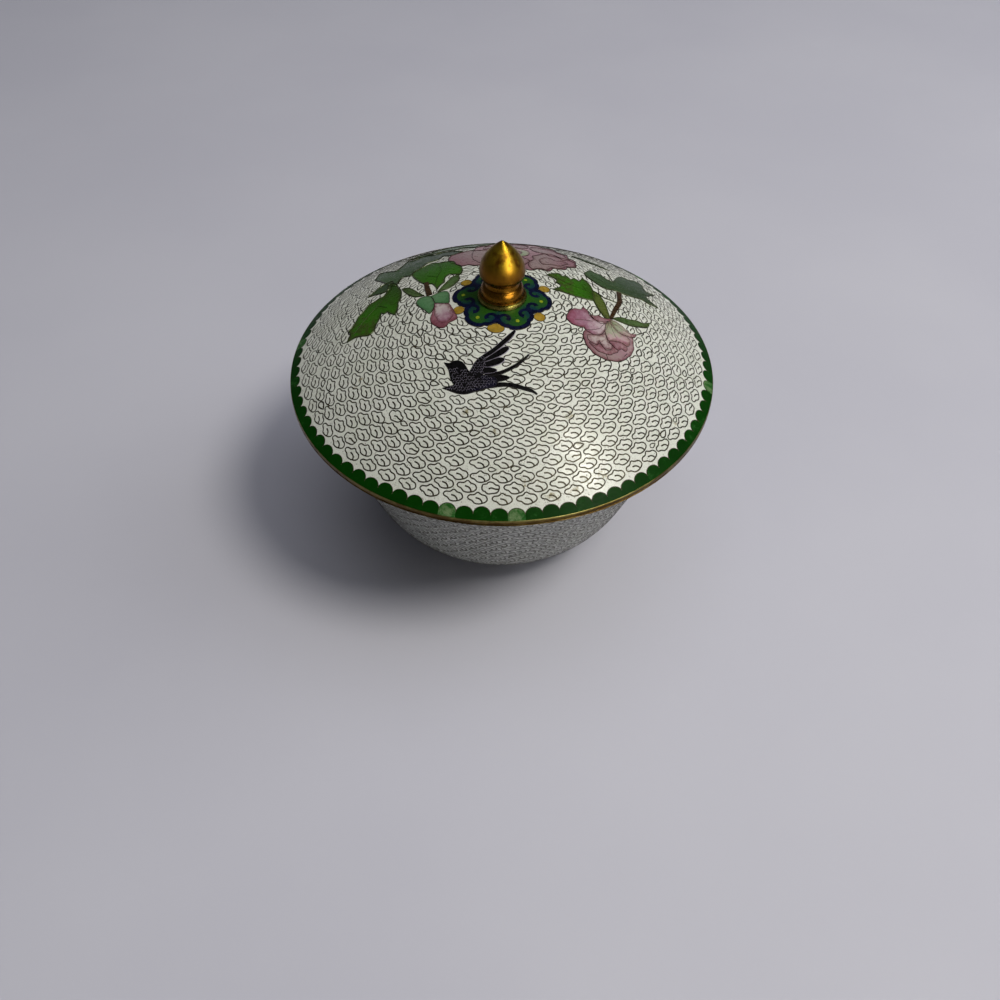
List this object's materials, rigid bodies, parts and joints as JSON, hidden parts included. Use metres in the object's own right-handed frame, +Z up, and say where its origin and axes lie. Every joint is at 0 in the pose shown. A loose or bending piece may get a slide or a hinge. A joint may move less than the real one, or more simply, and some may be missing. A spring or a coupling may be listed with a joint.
{
  "type": "cloisonne lidded bowl",
  "caption": "Footed enamelled bowl with a flared rim and a loose domed lid topped by a turned brass bud finial.",
  "frame": {"origin": "middle of the foot ring's underside, where the bowl stands", "axes": "+Z up along the axis of every turned piece, +X to the right and -Y to the front, where the swallow is"},
  "size_m": [0.127, 0.127, 0.1014],
  "materials": {
    "white_enamel": "gloss",
    "gilt_brass": "satin",
    "cloison_wire": "satin",
    "green_enamel": "gloss",
    "leaf_enamel": "gloss",
    "pink_enamel": "gloss",
    "navy_enamel": "gloss",
    "ochre_enamel": "gloss",
    "black_enamel": "gloss",
    "turquoise_enamel": "gloss"
  },
  "bodies": {
    "root": {"bowl": "white_enamel", "lid": "white_enamel", "finial": "gilt_brass"}
  },
  "joints": []
}
